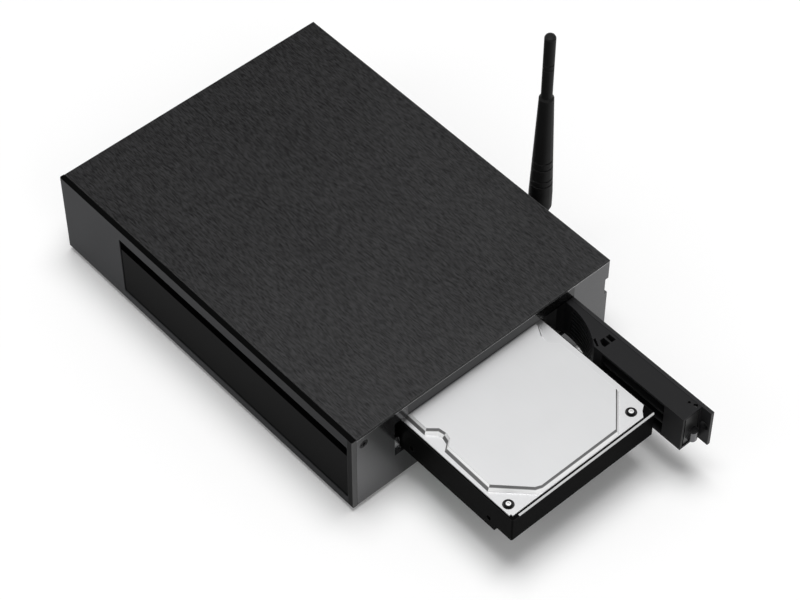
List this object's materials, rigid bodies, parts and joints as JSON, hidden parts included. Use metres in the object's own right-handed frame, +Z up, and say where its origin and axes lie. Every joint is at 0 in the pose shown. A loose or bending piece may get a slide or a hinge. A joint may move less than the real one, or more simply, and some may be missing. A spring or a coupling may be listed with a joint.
{
  "type": "media player with a hard drive bay",
  "caption": "Free-standing metal media player case with a dark window, a swinging side door, a sliding hard drive and a swivelling rear antenna.",
  "frame": {"origin": "centre of the case's underside, 3 mm above the surface that the feet stand on", "axes": "+X to the right seen from the front, towards the drive bay; +Y to the rear; +Z up"},
  "size_m": [0.3483, 0.2047, 0.1686],
  "materials": {
    "brushed_black": "black anodised, brushed left to right",
    "dark_plate": "satin dark metallic paint",
    "front_satin": "fine satin grey",
    "window_black": "polished, nearly black",
    "sheet_steel": "plain folded sheet",
    "zinc_screw": "zinc plated",
    "black_screw": "black oxide",
    "foot_rubber": "matte",
    "board_green": "solder mask",
    "chip_black": "moulded package",
    "tube_glass": "smoked display glass",
    "lamp_clear": "tinted lens",
    "heat_sink_black": "black anodised",
    "socket_metal": "nickel plated shell",
    "socket_black": "moulded socket",
    "runner_white": "natural low-friction plastic",
    "door_plastic": "moulded dark grey",
    "latch_steel": "bright steel",
    "spring_steel": "bright wire",
    "drive_black": "black coated casting",
    "drive_silver": "bright satin cover",
    "disk_mirror": "polished disk",
    "magnet_nickel": "nickel plated",
    "arm_metal": "machined",
    "gold_brass": "gold plated",
    "antenna_black": "matte moulded",
    "cable_grey": "flat ribbon",
    "lead_black": "jacket"
  },
  "bodies": {
    "case": {"base_tray": "sheet_steel", "top_cover": "brushed_black", "right_side_panel": "dark_plate", "left_side_panel": "dark_plate", "rear_panel": "dark_plate", "front_panel": "front_satin", "display_window": "window_black", "rubber_feet": "foot_rubber", "side_screws": "black_screw", "rear_screws": "black_screw", "stud_nuts": "zinc_screw", "display_board": "board_green", "display_tube": "tube_glass", "front_indicators": "lamp_clear", "main_board": "board_green", "board_standoffs": "sheet_steel", "inner_screws": "zinc_screw", "processor": "chip_black", "memory_chips": "chip_black", "heat_sink": "heat_sink_black", "wifi_module": "socket_metal", "hdmi_sockets": "socket_metal", "usb_socket": "socket_metal", "ethernet_socket": "socket_metal", "audio_sockets": "socket_black", "power_inlet": "socket_black", "switch_housing": "socket_black", "drive_cage": "sheet_steel", "cage_spacers": "sheet_steel", "slide_runners": "runner_white", "backplane": "board_green", "sata_socket": "socket_black", "hinge_bracket": "sheet_steel", "hinge_pin": "latch_steel", "hinge_clip": "spring_steel", "hinge_washers": "runner_white", "door_striker": "latch_steel", "antenna_connector": "gold_brass", "antenna_nut": "gold_brass", "flat_cables": "cable_grey", "antenna_lead": "lead_black"},
    "drive": {"drive_base": "drive_black", "drive_cover": "drive_silver", "drive_cover_screws": "zinc_screw", "spindle_motor": "arm_metal", "coil_magnets": "magnet_nickel", "drive_board": "board_green", "drive_connector": "socket_black"},
    "platters": {"drive_platters": "disk_mirror"},
    "actuator": {"head_actuator": "arm_metal"},
    "door": {"door_panel": "dark_plate", "door_body": "door_plastic", "door_studs": "latch_steel", "latch_frame": "latch_steel", "latch_spring": "spring_steel"},
    "bolt": {"latch_bolt": "latch_steel"},
    "rocker": {"power_rocker": "socket_black"},
    "antenna_elbow": {"antenna_collar": "antenna_black", "antenna_pin": "latch_steel"},
    "whip": {"antenna_whip": "antenna_black"}
  },
  "joints": [
    {"name": "drive_slide", "type": "slide", "parent": "case", "child": "drive", "axis": [1, 0, 0], "range_m": [-0.0975, 0.065]},
    {"name": "platter_spin", "type": "hinge", "parent": "drive", "child": "platters", "pos_m": [0.14885, -0.0057, 0.035], "axis": [0, 0, 1], "continuous": true},
    {"name": "actuator_swing", "type": "hinge", "parent": "drive", "child": "actuator", "pos_m": [0.10185, 0.0233, 0.035], "axis": [0, 0, 1], "range_deg": [-38, 0]},
    {"name": "door_hinge", "type": "hinge", "parent": "case", "child": "door", "pos_m": [0.1102, 0.05345, 0.0336], "axis": [0, 0, 1], "range_deg": [-2.5, 0]},
    {"name": "latch_press", "type": "slide", "parent": "door", "child": "bolt", "axis": [-1, 0, 0], "range_m": [0, 0.0028], "stiffness_N_per_m": 300, "springref_m": -0.002, "deforming": ["latch_spring"]},
    {"name": "rocker_tilt", "type": "hinge", "parent": "case", "child": "rocker", "pos_m": [-0.104, 0.088, 0.017], "axis": [1, 0, 0], "range_deg": [-18, 0]},
    {"name": "antenna_swivel", "type": "hinge", "parent": "case", "child": "antenna_elbow", "pos_m": [0.0545, 0.1, 0.026], "axis": [0, 1, 0], "range_deg": [-90, 90]},
    {"name": "antenna_tilt", "type": "hinge", "parent": "antenna_elbow", "child": "whip", "pos_m": [0.0545, 0.106, 0.026], "axis": [1, 0, 0], "range_deg": [-90, 0]}
  ]
}
